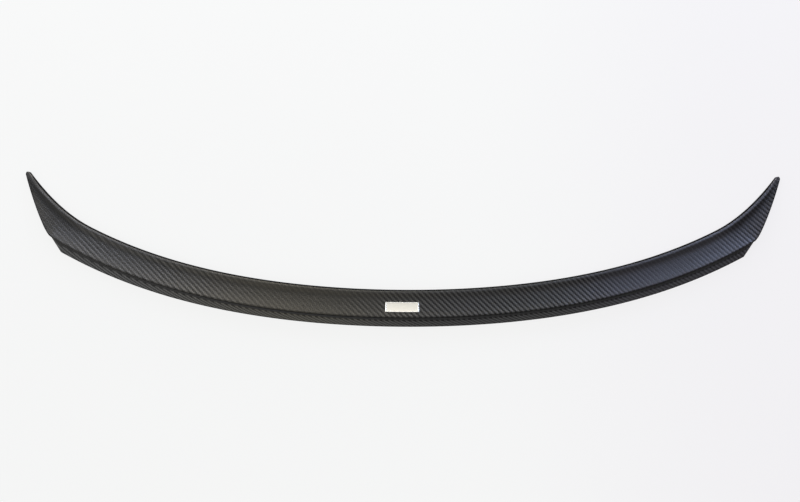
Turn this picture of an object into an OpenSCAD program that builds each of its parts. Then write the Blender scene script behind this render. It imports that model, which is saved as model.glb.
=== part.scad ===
// Boot-lid lip spoiler, moulded in one piece as a thin carbon laminate.
// The body is a loft: one section (rolled leading edge, dished ramp, lip, groove and rear flange)
// runs along a bow, and tapers past the rear corners to two pointed ends that sweep forward.
// X runs across the car, +Y to its front, +Z up. The flange stands on z = 0.

/* [Plan] */
// Width from tip to tip
overall_width = 1096; // [900:10:1300]
// How far the tips lie ahead of the middle of the leading edge
tip_reach = 170.4; // [130:0.2:220]
// How far the even bow alone would carry the tips
bow_reach = 94.5; // [60:0.5:110]
// Further bow that comes in gradually
bow_swell = 50.2; // [0:0.2:54]
// Share of the way to the tip at which the leading edge's forward sweep starts
sweep_start = 0.83; // [0.7:0.01:0.9]
// Length across the car of each tapered end, measured along the leading edge
end_span = 55; // [40:1:90]
// How far the side edge bulges outward between rear corner and tip
side_bulge = 2.3; // [0:0.1:6]
// Distance across the car over which the rear corner's round takes up the end of the lip
corner_lip = 4.5; // [2:0.5:8]
// Distance across the car over which it takes up the start of the side edge
corner_side = 9; // [3:0.5:14]
// Radius of the rounded tip
tip_radius = 3.8; // [2:0.1:5]

/* [Heights] */
// Height of the leading edge's rim at the middle
rim_height = 14; // [11:0.5:30]
// Height of the rim at the tips
tip_height = 5.5; // [5:0.5:10]
// Rise of the ramp from the rim to the lip, at the middle
lip_rise = 11; // [6:0.5:20]
// Rise of the ramp at the rear corners
corner_rise = 9; // [5:0.5:16]

/* [Section] */
// Thickness of the laminate
wall = 2; // [1.2:0.1:2.4]
// Distance from the leading edge to the back of the lip, at the middle
face_depth = 41.2; // [34:0.2:60]
// The same distance at the rear corners
corner_depth = 39.6; // [34:0.2:60]
// Width of the rolled rim along the leading edge
rim_width = 6; // [4:0.5:7]
// How far the rolled edges turn down below the underside
edge_turn = 2; // [0.5:0.1:3]
// Depth of the dish behind the rim
dish_depth = 1.1; // [0:0.1:1.5]
// Distance from the rim's crest to the deepest line of the dish
dish_offset = 6; // [4:0.5:10]
// Radius of the lip's rounded edge
lip_radius = 1.5; // [0.8:0.1:1.8]
// Height of the lip's rear face above the groove
lip_face = 3.4; // [2.5:0.1:6]
// Width of the groove's floor between lip and flange
groove_width = 4; // [3.5:0.1:8]
// Radius of the groove's inner corner
groove_radius = 1.2; // [0.6:0.1:1.6]
// Radius of the bend from the groove's floor into the flange
bend_radius = 2.4; // [0.6:0.1:3]
// How far the flange leans back from its bend to its bottom edge, at the middle
flange_lean = 6.4; // [3:0.1:10]
// Length across the car over which the flange's end is cut away, up to the corner's round
flange_cut = 15.4; // [6:0.2:40]

/* [Plate] */
// Length of the metal plate on the ramp
plate_length = 46.5; // [30:0.5:70]
// Depth of the plate along the ramp
plate_depth = 14.5; // [8:0.5:20]
// Distance from the leading edge to the plate
plate_offset = 18.4; // [14:0.2:22]
// Thickness of the plate
plate_thick = 0.8; // [0.5:0.1:1.5]
// Width of the plate's bevelled border
plate_bevel = 0.4; // [0.1:0.1:0.45]
// Thickness of the adhesive film under the plate
film_thick = 0.25; // [0.1:0.05:0.5]
// How far the film stays inside the plate's edge
film_inset = 0.6; // [0.2:0.1:2]

/* [Seats] */
// Clearance between the laminate and what is stuck on it
seat_gap = 0.18; // [0.12:0.01:0.3]
// Clearance between the adhesive film and the plate's underside
plate_gap = 0.02; // [0.02:0.01:0.1]

/* [Mounting tape] */
// Distance from the rolled rim to the foam tape under the leading edge
front_tape_offset = 0.6; // [0.4:0.1:3]
// Width of that tape
front_tape_width = 9; // [6:0.5:10]
// Width of the foam tape inside the flange
rear_tape_width = 6; // [4:0.5:7]
// Height above the flange's bottom edge at which the rear tape starts
rear_tape_start = 1.6; // [0.8:0.2:3]
// Thickness of the foam tape
tape_thick = 1.1; // [0.8:0.1:1.6]
// Thickness of the release liner on the tape
liner_thick = 0.15; // [0.1:0.05:0.3]
// How far the liner's pull tab runs past the tape's outer end
liner_tab = 8; // [2:1:15]
// Distance across the car from the tip to the end of the front tape
front_tape_inset = 42; // [36:1:80]
// Distance across the car from the tip to the end of the rear tape
rear_tape_inset = 100; // [94:2:160]
// Gap between two lengths of tape
tape_gap = 5; // [2:1:20]

/* [Hidden] */

// Steps of the loft, along half of the spoiler and round its section
middle_steps = 24;
sweep_steps = 2;
cut_steps = 3;
corner_steps = 4;
end_steps = 10;
tip_steps = 4;
rim_steps = 5;
dish_steps = 6;
ramp_steps = 7;
bend_steps = 4;
tape_steps = 18;
plate_steps = 6;

// The tip is a half round about tip_centre, on the line that splits its two edges evenly
tip_heading = 63;
tip_across = [sin(tip_heading), -cos(tip_heading)];
tip_along = [cos(tip_heading), sin(tip_heading)];
tip_centre = [overall_width / 2 - tip_radius, tip_reach - tip_radius];
lead_end = tip_centre - tip_radius * tip_across;
side_end = tip_centre + tip_radius * tip_across;
sweep_reach = lead_end.y - bow_reach - bow_swell;

// The leading edge is followed by t, from 0 at the middle to 1 at the tip
corner_t = 1 - end_span / lead_end.x;
lip_end_t = corner_t - corner_lip / lead_end.x;
side_start_t = corner_t + corner_side / lead_end.x;
cut_t = lip_end_t - flange_cut / lead_end.x;
middle_end = min(sweep_start, cut_t - 0.01);

// Chord at which the ends begin to close, and that at which they are solid
open_chord = 20;
solid_chord = 8;

// Step left between a solid end's underside and the foot of its edges
end_step = 0.02;

// Turn of the tip's half round, from its side line, at which its last ring stands
tip_turn = 80;

rear_depth = face_depth + groove_width + flange_lean;
frame_shift = [0, (rear_depth - tip_reach) / 2, 0];

laminate_colour = [0.16, 0.17, 0.18];
plate_colour = [0.83, 0.82, 0.77];
film_colour = [0.75, 0.75, 0.7];
tape_colour = [0.3, 0.3, 0.31];
liner_colour = [0.75, 0.1, 0.08];

function mix(a, b, k) = a + (b - a) * k;
function clamp(v, low, high) = min(high, max(low, v));
function unit(v) = v / norm(v);

// Plan of the bow, its heading, and the level direction across it, to the rear
function bow_line(t) = [lead_end.x * t, bow_reach * pow(t, 2) + bow_swell * pow(t, 4)];
function heading(t) = unit([lead_end.x, 2 * bow_reach * t + 4 * bow_swell * pow(t, 3)]);
function across(t) = [heading(t).y, -heading(t).x];

// The leading edge follows the bow and then sweeps ahead of it
function sweep_share(t) = max(0, (t - sweep_start) / (1 - sweep_start));
function lead(t) = bow_line(t) + [0, sweep_reach * pow(sweep_share(t), 2)];

// The lip follows the bow as far as the rear corner, and from there the side edge runs to the tip
function lip_depth(t) = mix(face_depth, corner_depth, pow(t / corner_t, 2));
function lip_plan(t) = bow_line(t) + lip_depth(t) * across(t);
rear_corner = lip_plan(corner_t);
side_chord = side_end - rear_corner;
side_outward = unit([side_chord.y, -side_chord.x]);
function side(t) =
    let (k = (t - corner_t) / (1 - corner_t))
    mix(rear_corner, side_end, k) + 4 * side_bulge * k * (1 - k) * side_outward;
function corner_round(k) =
    pow(1 - k, 2) * lip_plan(lip_end_t) + 2 * k * (1 - k) * rear_corner + pow(k, 2) * side(side_start_t);
function rear(t) = t <= lip_end_t ? lip_plan(t)
    : t >= side_start_t ? side(t)
    : corner_round((t - lip_end_t) / (side_start_t - lip_end_t));

// Station: [start of the section, its direction, its chord, ramp rise, rim height, flange share,
// flange lean]. The flange's bottom edge keeps an even distance from the bow.
function chord(t) = norm(rear(t) - lead(t));
function rim_z(t) = mix(rim_height, tip_height, pow(t, 3));
function rise(t) = t <= lip_end_t
    ? mix(lip_rise, corner_rise, pow(t / lip_end_t, 2))
    : corner_rise * chord(t) / chord(lip_end_t);
function flange_share(t) = clamp((lip_end_t - t) / (lip_end_t - cut_t), 0, 1);
function lean(t) = flange_lean + face_depth - lip_depth(t);
function station(t) = [
    lead(t), unit(rear(t) - lead(t)), chord(t), rise(t), rim_z(t), flange_share(t), lean(t)
];
function tip_station(turn) = [
    tip_centre + tip_radius * (sin(turn) * tip_along - cos(turn) * tip_across),
    tip_across, 2 * tip_radius * cos(turn), rise(1) * cos(turn), tip_height, 0, lean(1)
];

// The section is drawn in [s, z]: s runs back from the leading edge, z up from the rim's crest.
// A short chord narrows the rim, the wall and the lip's radius so that they still fit.
function rim_for(c) = min(rim_width, 0.36 * c);
function wall_for(c) = min(wall, 0.3 * c);
function lip_for(c) = min(lip_radius, 0.22 * c);
function hollow_for(c) = clamp((c - solid_chord) / (open_chord - solid_chord), 0, 1);
function run(s, c) = (s - rim_for(c)) / (c - rim_for(c));
function dish(s, c) =
    let (r = (s - rim_for(c)) / min(dish_offset, 0.3 * c))
    dish_depth * min(1, c / face_depth) * pow(r, 2) * exp(2 * (1 - r));
function ramp_z(s, c, h) = h * pow(run(s, c), 2) - dish(s, c);
function ramp_slope(s, c, h) = (ramp_z(s + 0.01, c, h) - ramp_z(s - 0.01, c, h)) / 0.02;
function under_z(s, c, h) = ramp_z(s, c, h) - wall * sqrt(1 + pow(ramp_slope(s, c, h), 2));

// Back end of the ramp, where the lip's round begins, and the round's centre
function lip_tilt(c, h) = atan(ramp_slope(c - lip_for(c), c, h));
function ramp_end(c, h) = c - lip_for(c) * (1 + sin(lip_tilt(c, h)));
function lip_centre(c, h) = [
    c - lip_for(c), ramp_z(ramp_end(c, h), c, h) - lip_for(c) * cos(lip_tilt(c, h))
];

function arc(centre, r, from, to, steps) = [
    for (i = [0:steps]) let (a = mix(from, to, i / steps)) centre + r * [cos(a), sin(a)]
];
function spread(a, b, count) = [for (i = [0:count - 1]) mix(a, b, i / (count - 1))];

// Upper line, from the turned-down nose over the rim, the dish and the ramp to the lip
function rim_line(c) = [
    for (i = [0:rim_steps]) let (a = 90 * i / rim_steps)
        [rim_for(c) * (1 - cos(a)), (wall + edge_turn) * (sin(a) - 1)]
];
function dish_end(c) = mix(rim_for(c), c, 0.42);
function ramp_stops(c, last) = concat(
    [for (i = [1:dish_steps]) mix(rim_for(c), dish_end(c), i / dish_steps)],
    [for (i = [1:ramp_steps]) mix(dish_end(c), last, i / ramp_steps)]
);
function ramp_line(c, h) = [for (s = ramp_stops(c, ramp_end(c, h))) [s, ramp_z(s, c, h)]];
function lip_line(c, h) = arc(lip_centre(c, h), lip_for(c), 90 + lip_tilt(c, h), 0, bend_steps);

// Rear of a full section: groove, bend and flange, down to the floor and up the inner side
function groove_z(c, h) = lip_centre(c, h).y - lip_face;
function flange_angle(c, h, floor, lean) = atan2(groove_z(c, h) - floor, lean);
function bend_corner(c, h) = [c + groove_width, groove_z(c, h)];
function flange_inner(z, c, h, floor, lean) =
    let (turn = flange_angle(c, h, floor, lean))
    bend_corner(c, h).x + (groove_z(c, h) - z) / tan(turn) - wall / sin(turn);
function full_tail(c, h, floor, lean) =
    let (
        turn = flange_angle(c, h, floor, lean),
        bend = bend_corner(c, h),
        groove = [c + groove_radius, bend.y + groove_radius],
        bend_centre = [bend.x - bend_radius * tan(turn / 2), bend.y - bend_radius],
        soffit = bend.y - wall
    )
    concat(
        arc(groove, groove_radius, 180, 270, bend_steps),
        arc(bend_centre, bend_radius, 90, 90 - turn, bend_steps),
        [
            [bend.x + lean, floor],
            [flange_inner(floor, c, h, floor, lean), floor],
            [flange_inner(soffit, c, h, floor, lean), soffit],
            [c - wall, soffit]
        ]
    );

// Rear of a plain section: a turned-down edge like the nose's, with as many points as a full one
function edge_z(c, h) = under_z(c - wall_for(c), c, h) - edge_turn;
function plain_tail(c, h) =
    let (
        top = lip_centre(c, h).y,
        bottom = edge_z(c, h),
        inner = c - wall_for(c),
        count = 2 * bend_steps + 3
    )
    concat(
        [for (i = [1:count]) [c, mix(top, bottom, i / count)]],
        [for (i = [1:3]) [mix(c, inner, i / 3), bottom]]
    );

// Underside, from the lip forward to the nose; it closes towards the solid tips
function closing_z(s, c, h) = mix(-wall - edge_turn, edge_z(c, h), s / c);
function soffit_z(s, c, h) = mix(closing_z(s, c, h) + end_step, under_z(s, c, h), hollow_for(c));
function under_stops(c) =
    let (stops = ramp_stops(c, c - wall_for(c)))
    [for (i = [len(stops) - 1:-1:0]) stops[i]];
function under_line(c, h) = [for (s = under_stops(c)) [s, soffit_z(s, c, h)]];
function nose_inner(c) =
    let (inner = rim_for(c) - wall_for(c))
    [for (i = [bend_steps:-1:0]) let (a = 90 * i / bend_steps)
        [
            rim_for(c) - inner * cos(a),
            mix(-wall - edge_turn + end_step * sin(a), edge_turn * (sin(a) - 1) - wall, hollow_for(c))
        ]
    ];

function section(c, h, floor, share, lean) =
    let (
        plain = plain_tail(c, h),
        full = full_tail(c, h, floor, lean),
        tail = [for (i = [0:len(full) - 1]) mix(plain[i], full[i], share)]
    )
    concat(rim_line(c), ramp_line(c, h), lip_line(c, h), tail, under_line(c, h), nose_inner(c));

// A section's points set out in space at a station, and the same on the other side of the car
function set_out(st, points) = [
    for (p = points) [st[0].x + st[1].x * p.x, st[0].y + st[1].y * p.x, st[4] + p.y]
];
function mirrored(ring) = [for (p = ring) [-p.x, p.y, p.z]];
function shell_ring(st) = set_out(st, section(st[2], st[3], -st[4], st[5], st[6]));

under_count = dish_steps + ramp_steps + bend_steps + 1;
section_turn = len(section(face_depth, lip_rise, -rim_height, 1, flange_lean)) - under_count;

half_stations = concat(
    [for (i = [0:middle_steps]) station(middle_end * i / middle_steps)],
    [for (i = [1:sweep_steps]) station(mix(middle_end, cut_t, i / sweep_steps))],
    [for (i = [1:cut_steps]) station(mix(cut_t, lip_end_t, i / cut_steps))],
    [for (i = [1:corner_steps]) station(mix(lip_end_t, side_start_t, i / corner_steps))],
    [for (i = [1:end_steps]) station(mix(side_start_t, 1, i / end_steps))],
    [for (i = [1:tip_steps]) tip_station(tip_turn * i / tip_steps)]
);

// Closed solid through rings of points that run the same way round. Each ring runs out, and
// from point number turn, or else from its half, back again. The squares between two rings are
// split so that both runs match, and both halves of a solid that is even about the middle.
module loft(rings, turn = 0, even = false) {
    n = len(rings);
    m = len(rings[0]);
    back_from = turn > 0 ? turn : m / 2;
    sides = [
        for (i = [0:n - 2], j = [0:m - 1])
            let (
                a = i * m + j,
                b = i * m + (j + 1) % m,
                back = j >= back_from,
                other_half = even && i < (n - 1) / 2
            )
            each back == other_half
                ? [[a, b + m, b], [a, a + m, b + m]]
                : [[a, a + m, b], [b, a + m, b + m]]
    ];
    caps = [[for (j = [0:m - 1]) j], [for (j = [m - 1:-1:0]) (n - 1) * m + j]];
    polyhedron([for (ring = rings) each ring], concat(sides, caps), convexity = 8);
}

module shell() {
    right = [for (st = half_stations) shell_ring(st)];
    left = [for (i = [len(right) - 1:-1:1]) mirrored(right[i])];
    color(laminate_colour) translate(frame_shift) loft(concat(left, right), section_turn, true);
}

// Sections between two distances across the car, drawn by a function of t and set out in space
function across_ring(x, points) =
    x < 0 ? mirrored(set_out(station(-x / lead_end.x), points)) : set_out(station(x / lead_end.x), points);

// Layer on the ramp, between two heights above it, with its upper edge bevelled
function face_stops(front, back, edge) = concat(
    [front], spread(front + edge, back - edge, plate_steps), [back]
);
function face_layer(x, front, back, low, high, edge, top) =
    let (t = abs(x) / lead_end.x, stops = face_stops(front, back, edge))
    concat(
        [for (i = [0:len(stops) - 1])
            let (brim = i == 0 || i == len(stops) - 1, s = stops[i])
            [s, ramp_z(s, chord(t), rise(t)) + (brim ? high - edge : top)]
        ],
        [for (i = [len(stops) - 1:-1:0])
            let (s = stops[i])
            [s, ramp_z(s, chord(t), rise(t)) + low]
        ]
    );

module badge_plate() {
    low = seat_gap + film_thick + plate_gap;
    high = low + plate_thick;
    half = plate_length / 2;
    back = plate_offset + plate_depth;
    shoulder = high - plate_bevel;
    brim = across_ring(-half, face_layer(half, plate_offset, back, low, high, plate_bevel, shoulder));
    inner = [
        for (x = spread(plate_bevel - half, half - plate_bevel, plate_steps + 1))
            across_ring(x, face_layer(x, plate_offset, back, low, high, plate_bevel, high))
    ];
    color(plate_colour) translate(frame_shift) loft(concat([brim], inner, [mirrored(brim)]), even = true);
}

module plate_film() {
    half = plate_length / 2 - film_inset;
    front = plate_offset + film_inset;
    back = plate_offset + plate_depth - film_inset;
    high = seat_gap + film_thick;
    rings = [
        for (x = spread(-half, half, plate_steps + 1))
            across_ring(x, face_layer(x, front, back, seat_gap, high, plate_bevel / 2, high))
    ];
    color(film_colour) translate(frame_shift) loft(rings, even = true);
}

// Layer under the dish, between two depths below the laminate
front_tape_start = rim_width + front_tape_offset;
function front_layer(x, near, far) =
    let (
        t = abs(x) / lead_end.x,
        stops = spread(front_tape_start, front_tape_start + front_tape_width, 5)
    )
    concat(
        [for (s = stops) [s, under_z(s, chord(t), rise(t)) - near]],
        [for (i = [len(stops) - 1:-1:0]) [stops[i], under_z(stops[i], chord(t), rise(t)) - far]]
    );

// Layer on the flange's inner side, between two distances from it
function rear_layer(x, near, far) =
    let (
        t = abs(x) / lead_end.x,
        floor = -rim_z(t),
        slant = sin(flange_angle(chord(t), rise(t), floor, lean(t))),
        low = floor + rear_tape_start,
        high = low + rear_tape_width * slant
    )
    [for (p = [[high, near], [low, near], [low, far], [high, far]])
        [flange_inner(p.x, chord(t), rise(t), floor, lean(t)) - p.y / slant, p.x]
    ];

// One of three lengths of a strip: place is -1, 0 or 1, and the outer ends run on by extra
front_reach = overall_width / 2 - front_tape_inset;
rear_reach = overall_width / 2 - rear_tape_inset;
function strip_stops(place, reach, extra) =
    let (third = (2 * reach - 2 * tape_gap) / 3)
    place == 0
        ? spread(-third / 2, third / 2, tape_steps + 1)
        : concat(spread(third / 2 + tape_gap, reach, tape_steps + 1), extra > 0 ? [reach + extra] : []);

module front_strip(place, extra, near, far) {
    rings = [for (x = strip_stops(place, front_reach, extra)) across_ring(x, front_layer(x, near, far))];
    mirror([place < 0 ? 1 : 0, 0, 0]) translate(frame_shift) loft(rings, even = place == 0);
}

module rear_strip(place, extra, near, far) {
    rings = [for (x = strip_stops(place, rear_reach, extra)) across_ring(x, rear_layer(x, near, far))];
    mirror([place < 0 ? 1 : 0, 0, 0]) translate(frame_shift) loft(rings, even = place == 0);
}

tape_bottom = seat_gap + tape_thick;
liner_bottom = tape_bottom + liner_thick;

module front_tape(place) {
    color(tape_colour) front_strip(place, 0, seat_gap, tape_bottom);
}

module rear_tape(place) {
    color(tape_colour) rear_strip(place, 0, seat_gap, tape_bottom);
}

module front_liner(place) {
    color(liner_colour) front_strip(place, liner_tab, tape_bottom, liner_bottom);
}

module rear_liner(place) {
    color(liner_colour) rear_strip(place, liner_tab, tape_bottom, liner_bottom);
}

shell();
badge_plate();
plate_film();
front_tape(-1);  // front_tape_left
front_tape(0);  // front_tape_middle
front_tape(1);  // front_tape_right
rear_tape(-1);  // rear_tape_left
rear_tape(0);  // rear_tape_middle
rear_tape(1);  // rear_tape_right
front_liner(-1);  // front_liner_left
front_liner(0);  // front_liner_middle
front_liner(1);  // front_liner_right
rear_liner(-1);  // rear_liner_left
rear_liner(0);  // rear_liner_middle
rear_liner(1);  // rear_liner_right
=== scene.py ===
import math

import bmesh
import bpy
import numpy as np
from mathutils import Matrix, Vector


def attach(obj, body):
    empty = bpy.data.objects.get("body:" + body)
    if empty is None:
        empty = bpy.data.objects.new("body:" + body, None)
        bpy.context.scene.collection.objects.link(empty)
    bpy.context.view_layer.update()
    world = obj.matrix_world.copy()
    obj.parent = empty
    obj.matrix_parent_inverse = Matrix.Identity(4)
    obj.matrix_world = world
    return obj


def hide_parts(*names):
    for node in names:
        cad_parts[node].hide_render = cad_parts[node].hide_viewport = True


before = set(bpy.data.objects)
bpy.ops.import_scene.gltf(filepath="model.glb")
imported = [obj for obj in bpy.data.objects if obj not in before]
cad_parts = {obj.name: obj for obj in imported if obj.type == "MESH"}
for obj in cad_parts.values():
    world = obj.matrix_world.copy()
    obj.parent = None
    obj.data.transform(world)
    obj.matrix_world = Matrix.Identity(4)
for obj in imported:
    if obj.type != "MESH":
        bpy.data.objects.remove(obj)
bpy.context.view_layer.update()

# Laminate body: one moulding of carbon twill, 2 mm thick, laid into a female mould and cured.
# A rolled leading edge, dish, ramp, lip, groove and rear flange run from side to side, and the
# same section closes towards two pointed ends. Its outer face is lacquered satin.
mm = 0.001
overall_width = 1096.0
tip_reach = 170.4
bow_reach, bow_swell = 94.5, 50.2
sweep_start = 0.83
end_span = 55.0
side_bulge = 2.3
corner_lip, corner_side = 4.5, 9.0
tip_radius = 3.8
tip_heading = math.radians(63)
rim_height, tip_height = 14.0, 5.5
lip_rise, corner_rise = 11.0, 9.0
wall = 2.0
face_depth, corner_depth = 41.2, 39.6
rim_width = 6.0
rim_full = 1.25  # the rolled edge's roundness: 1 is an ellipse, more is fuller
edge_turn = 2.0
dish_depth, dish_offset = 1.1, 6.0
dish_end_share = 0.42
lip_radius, lip_face = 1.5, 3.4
groove_width, groove_radius = 4.0, 1.2
bend_radius = 2.4
flange_lean, flange_cut = 6.4, 15.4
open_chord, solid_chord = 20.0, 8.0
trim_round, inner_round, root_round = 0.35, 1.0, 0.5
closing_step = 0.02  # how far a solid end's underside stays above the feet of its edges

# Shares of the chord that the rim, wall, lip, rounds and dish keep to in a narrow section
rim_share, wall_share, lip_share, round_share, dish_share = 0.36, 0.3, 0.22, 0.05, 0.3

# Steps round the section, in the order in which it runs
ease_steps, rim_points, dish_points, ramp_points, lip_round_steps = 4, 13, 13, 21, 8
lip_steps, groove_steps, shelf_steps, bend_steps, flange_steps, foot_steps = 4, 7, 3, 8, 10, 2
inner_steps, roof_steps, root_steps, nose_points = 8, 2, 3, 7
outer_steps = lip_steps + groove_steps + shelf_steps + bend_steps + flange_steps
back_steps = inner_steps + roof_steps + root_steps + 2 * ease_steps

tip_across = np.array([math.sin(tip_heading), -math.cos(tip_heading)])
tip_along = np.array([math.cos(tip_heading), math.sin(tip_heading)])
tip_centre = np.array([overall_width / 2 - tip_radius, tip_reach - tip_radius])
lead_end = tip_centre - tip_radius * tip_across
side_end = tip_centre + tip_radius * tip_across
sweep_reach = lead_end[1] - bow_reach - bow_swell
corner_t = 1 - end_span / lead_end[0]
lip_end_t = corner_t - corner_lip / lead_end[0]
side_start_t = corner_t + corner_side / lead_end[0]
cut_t = lip_end_t - flange_cut / lead_end[0]
rear_depth = face_depth + groove_width + flange_lean
frame_shift = (rear_depth - tip_reach) / 2


def mix(a, b, k):
    return a + (b - a) * k


def clamp(v, low=0.0, high=1.0):
    return min(high, max(low, v))


def unit(v):
    return v / math.hypot(v[0], v[1])


def bow_line(t):
    return np.array([lead_end[0] * t, bow_reach * t**2 + bow_swell * t**4])


def lead(t):
    """The leading edge: the bow, and past sweep_start a sweep ahead of it."""
    sweep = max(0, (t - sweep_start) / (1 - sweep_start))
    return bow_line(t) + np.array([0, sweep_reach * sweep**2])


def lip_depth(t):
    return mix(face_depth, corner_depth, (t / corner_t) ** 2)


def lip_plan(t):
    """The lip's line, set back from the bow."""
    forward = unit(np.array([lead_end[0], 2 * bow_reach * t + 4 * bow_swell * t**3]))
    return bow_line(t) + lip_depth(t) * np.array([forward[1], -forward[0]])


rear_corner = lip_plan(corner_t)
side_chord = side_end - rear_corner
side_outward = unit(np.array([side_chord[1], -side_chord[0]]))


def side_edge(t):
    k = (t - corner_t) / (1 - corner_t)
    return mix(rear_corner, side_end, k) + 4 * side_bulge * k * (1 - k) * side_outward


def rear(t):
    """Lip, rounded rear corner and side edge, from the middle to the tip."""
    if t <= lip_end_t:
        return lip_plan(t)
    if t >= side_start_t:
        return side_edge(t)
    k = (t - lip_end_t) / (side_start_t - lip_end_t)
    before, after = lip_plan(lip_end_t), side_edge(side_start_t)
    return (1 - k) ** 2 * before + 2 * k * (1 - k) * rear_corner + k**2 * after


def chord_at(t):
    return math.hypot(*(rear(t) - lead(t)))


def station(t):
    """Start of the section, its direction, chord, ramp rise, rim height, flange share and lean."""
    rim = mix(rim_height, tip_height, t**3)
    chord = chord_at(t)
    rise = mix(lip_rise, corner_rise, (t / lip_end_t) ** 2)
    if t > lip_end_t:
        rise = corner_rise * chord / chord_at(lip_end_t)
    share = clamp((lip_end_t - t) / (lip_end_t - cut_t))
    lean = flange_lean + face_depth - lip_depth(t)
    return lead(t), (rear(t) - lead(t)) / chord, chord, rise, rim, share, lean


def tip_station(turn):
    start = tip_centre + tip_radius * (math.sin(turn) * tip_along - math.cos(turn) * tip_across)
    closing = math.cos(turn)
    rise = corner_rise * 2 * tip_radius / chord_at(lip_end_t) * closing
    return start, tip_across, 2 * tip_radius * closing, rise, tip_height, 0.0, flange_lean


class Section:
    """One section of the body, in s (back from the leading edge) and z (up from the rim)."""

    def __init__(self, c, h):
        self.c, self.h = c, h
        self.rim = min(rim_width, rim_share * c)
        self.wall = min(wall, wall_share * c)
        self.lip = min(lip_radius, lip_share * c)
        self.hollow = clamp((c - solid_chord) / (open_chord - solid_chord))
        self.round = min(trim_round, round_share * c)
        self.tilt = math.atan(self.slope(c - self.lip))
        self.ramp_end = c - self.lip * (1 + math.sin(self.tilt))
        self.lip_z = self.top(self.ramp_end) - self.lip * math.cos(self.tilt)
        self.edge_z = self.under(c - self.wall) - edge_turn

    def top(self, s):
        r = (s - self.rim) / min(dish_offset, dish_share * self.c)
        dish = dish_depth * min(1, self.c / face_depth) * r**2 * math.exp(2 * (1 - r))
        return self.h * ((s - self.rim) / (self.c - self.rim)) ** 2 - dish

    def slope(self, s):
        near = 0.01
        return (self.top(s + near) - self.top(s - near)) / (2 * near)

    def under(self, s):
        return self.top(s) - wall * math.sqrt(1 + self.slope(s) ** 2)

    def soffit(self, s):
        closing = mix(-wall - edge_turn, self.edge_z, s / self.c) + closing_step
        return mix(closing, self.under(s), self.hollow)


def straight(a, b, steps):
    return [tuple(mix(np.array(a), np.array(b), i / steps)) for i in range(1, steps + 1)]


def arc(centre, r, start, end, steps):
    turns = [mix(start, end, i / steps) for i in range(steps + 1)]
    return [(centre[0] + r * math.cos(a), centre[1] + r * math.sin(a)) for a in turns]


def eased(before, corner, after):
    """A worn round in place of a sharp corner, between two points on the lines that meet there."""
    points = []
    for i in range(1, ease_steps + 1):
        k = i / ease_steps
        a, b, c = (1 - k) ** 2, 2 * k * (1 - k), k**2
        points.append(tuple(a * before[n] + b * corner[n] + c * after[n] for n in (0, 1)))
    return points


def full_tail(sec, floor, lean):
    """Lip face, groove, bend and flange, down to the floor and up the flange's inner side."""
    c, e = sec.c, sec.round
    z = sec.lip_z - lip_face
    turn = math.atan2(z - floor, lean)
    corner = c + groove_width
    groove_centre = (c + groove_radius, z + groove_radius)
    bend_centre = (corner - bend_radius * math.tan(turn / 2), z - bend_radius)

    def outer(level):
        return corner + (z - level) / math.tan(turn)

    def inner(level):
        return outer(level) - wall / math.sin(turn)

    soffit = z - wall
    foot_out, foot_in = (outer(floor), floor), (inner(floor), floor)
    inner_top = (inner(soffit), soffit)
    points = straight((c, sec.lip_z), (c, z + groove_radius), lip_steps)
    points += arc(groove_centre, groove_radius, math.pi, 1.5 * math.pi, groove_steps)[1:]
    bend = arc(bend_centre, bend_radius, math.pi / 2, math.pi / 2 - turn, bend_steps)
    points += straight(points[-1], bend[0], shelf_steps) + bend[1:]
    points += straight(points[-1], (outer(floor + e), floor + e), flange_steps)
    points += eased(points[-1], foot_out, (foot_out[0] - e, floor))
    points += straight(points[-1], (foot_in[0] + e, floor), foot_steps)
    points += eased(points[-1], foot_in, (inner(floor + e), floor + e))
    points += straight(points[-1], (inner(soffit - inner_round), soffit - inner_round), inner_steps)
    points += eased(points[-1], inner_top, (inner_top[0] - inner_round, soffit))
    points += straight(points[-1], (c - wall + root_round, soffit), roof_steps)
    points += eased(points[-1], (c - wall, soffit), (c - wall, soffit + root_round))
    return points + straight(points[-1], (c - wall, sec.soffit(c - wall)), root_steps)


def plain_tail(sec):
    """A turned-down edge like the leading edge's, with as many points as a full tail has."""
    c, e, inner = sec.c, sec.round, sec.c - sec.wall
    bottom = sec.edge_z
    points = straight((c, sec.lip_z), (c, bottom + e), outer_steps)
    points += eased(points[-1], (c, bottom), (c - e, bottom))
    points += straight(points[-1], (inner + e, bottom), foot_steps)
    points += eased(points[-1], (inner, bottom), (inner, bottom + e))
    return points + straight(points[-1], (inner, sec.soffit(inner)), back_steps)


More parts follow.
